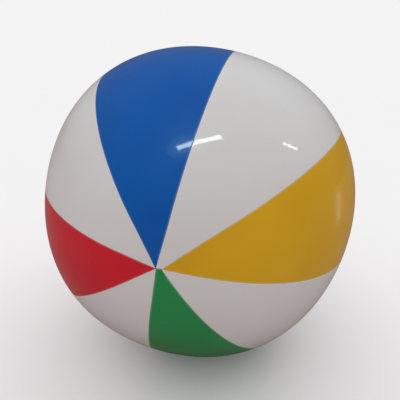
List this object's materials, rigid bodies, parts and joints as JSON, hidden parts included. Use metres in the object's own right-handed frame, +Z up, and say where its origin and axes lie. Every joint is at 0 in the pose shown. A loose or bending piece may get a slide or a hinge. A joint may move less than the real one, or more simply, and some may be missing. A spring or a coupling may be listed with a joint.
{
  "type": "inflatable beach ball",
  "caption": "Inflatable beach ball with coloured and white vinyl gores, inner weld fins and pole patches, and a push-in valve with strap, plug and check flap.",
  "frame": {"origin": "centre of the inflated ball", "axes": "+Z up, Y along the polar axis that the eight gores meet on, front pole at -Y, valve near the rear pole at +Y"},
  "size_m": [0.4, 0.4, 0.4],
  "materials": {
    "blue_vinyl": "gloss",
    "red_vinyl": "gloss",
    "green_vinyl": "gloss",
    "yellow_vinyl": "gloss",
    "white_vinyl": "gloss",
    "valve_vinyl": "gloss"
  },
  "bodies": {
    "ball": {"blue_gore": "blue_vinyl", "white_valve_gore": "white_vinyl", "red_gore": "red_vinyl", "white_gore_red_green": "white_vinyl", "green_gore": "green_vinyl", "white_gore_green_yellow": "white_vinyl", "yellow_gore": "yellow_vinyl", "white_gore_yellow_blue": "white_vinyl", "front_pole_patch": "white_vinyl", "rear_pole_patch": "white_vinyl", "valve_flange": "valve_vinyl", "valve_bellows": "valve_vinyl"},
    "stem": {"valve_stem": "valve_vinyl", "plug_strap": "valve_vinyl"},
    "plug": {"valve_plug": "valve_vinyl"},
    "flap": {"check_flap": "valve_vinyl"}
  },
  "joints": [
    {"name": "stem_pull", "type": "slide", "parent": "ball", "child": "stem", "axis": [-0.467, 0.8192, 0.3331], "range_m": [0, 0.016], "deforming": ["valve_bellows"]},
    {"name": "plug_swing", "type": "hinge", "parent": "stem", "child": "plug", "pos_m": [-0.08871, 0.17131, 0.06328], "axis": [-0.5807, 0, -0.8141], "range_deg": [0, 150], "deforming": ["plug_strap"]},
    {"name": "flap_swing", "type": "hinge", "parent": "stem", "child": "flap", "pos_m": [-0.0838, 0.15615, 0.05977], "axis": [0.5807, 0, 0.8141], "range_deg": [0, 60], "stiffness_Nm_per_rad": 0.0001}
  ]
}
